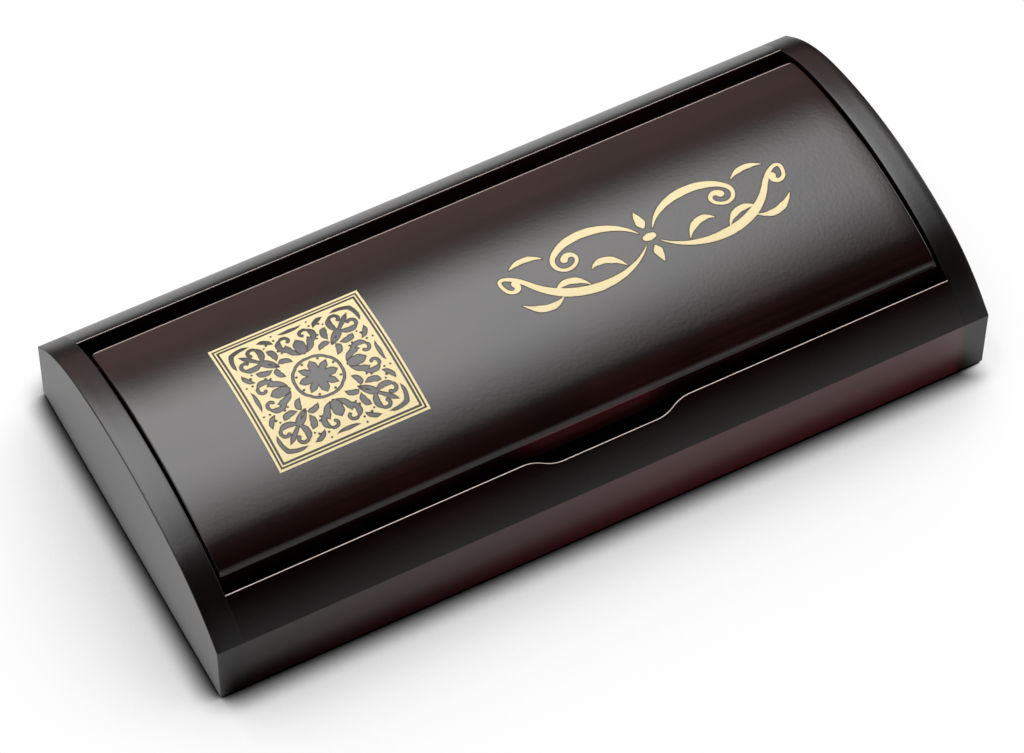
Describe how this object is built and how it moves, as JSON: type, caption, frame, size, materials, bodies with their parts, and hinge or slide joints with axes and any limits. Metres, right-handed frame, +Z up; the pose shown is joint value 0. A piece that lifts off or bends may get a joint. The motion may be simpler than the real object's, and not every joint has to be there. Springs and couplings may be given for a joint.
{
  "type": "arched keepsake box with hinged lid",
  "caption": "Long low lacquered wooden box with an arched top, a curved lid that swings up on two blind pins, a front finger notch and a felt-lined inside.",
  "frame": {"origin": "middle of the footprint, on the surface that the felt base rests on", "axes": "+X along the length to the right end, +Y from the notched front to the back, +Z up"},
  "size_m": [0.2, 0.095, 0.0353],
  "materials": {
    "case_wood": "near-black red-brown stain under satin-gloss lacquer",
    "lid_wood": "dark red-brown stain under satin-gloss lacquer",
    "plain_wood": "bare light hardwood",
    "base_felt": "black self-adhesive felt",
    "lining_felt": "black velvet felt on card",
    "pin_brass": "drawn brass rod",
    "gold_fill": "pale gold paint filled into engraving"
  },
  "bodies": {
    "case": {"left_end": "case_wood", "right_end": "case_wood", "front_board": "case_wood", "back_board": "case_wood", "lid_rest_left": "case_wood", "lid_rest_right": "case_wood", "bottom_panel": "plain_wood", "corner_dowels": "plain_wood", "base_felt": "base_felt", "floor_lining": "lining_felt", "front_lining": "lining_felt", "back_lining": "lining_felt", "left_lining": "lining_felt", "right_lining": "lining_felt"},
    "lid": {"lid_panel": "lid_wood", "pivot_pin_left": "pin_brass", "pivot_pin_right": "pin_brass", "crest_fill": "gold_fill", "scroll_fill": "gold_fill"}
  },
  "joints": [
    {"name": "lid_hinge", "type": "hinge", "parent": "case", "child": "lid", "pos_m": [0, 0.0297, 0.02606], "axis": [-1, 0, 0], "range_deg": [0, 140]}
  ]
}
